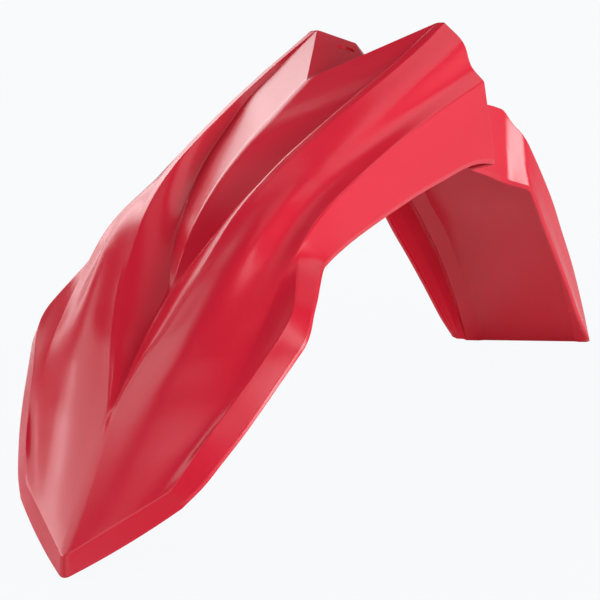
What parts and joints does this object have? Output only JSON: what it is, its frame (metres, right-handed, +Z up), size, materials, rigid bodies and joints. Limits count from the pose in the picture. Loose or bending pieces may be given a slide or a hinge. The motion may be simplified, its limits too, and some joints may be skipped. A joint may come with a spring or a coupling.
{
  "type": "motorcycle front mudguard",
  "caption": "High front mudguard for an off-road motorcycle: creased one-piece shell with a flanged nose, a sunken centre wedge, a notched bolt mount and a rear flap.",
  "frame": {"origin": "centre of the bounding box's base, on the mirror plane, at the height of the nose tip and the flap's end", "axes": "+Z up, +Y from the nose towards the flap (the rear of the motorcycle), +X across the mirror plane"},
  "size_m": [0.2598, 0.745, 0.3362],
  "materials": {
    "red_plastic": "satin moulded, crimson red"
  },
  "bodies": {
    "root": {"mudguard": "red_plastic"}
  },
  "joints": []
}
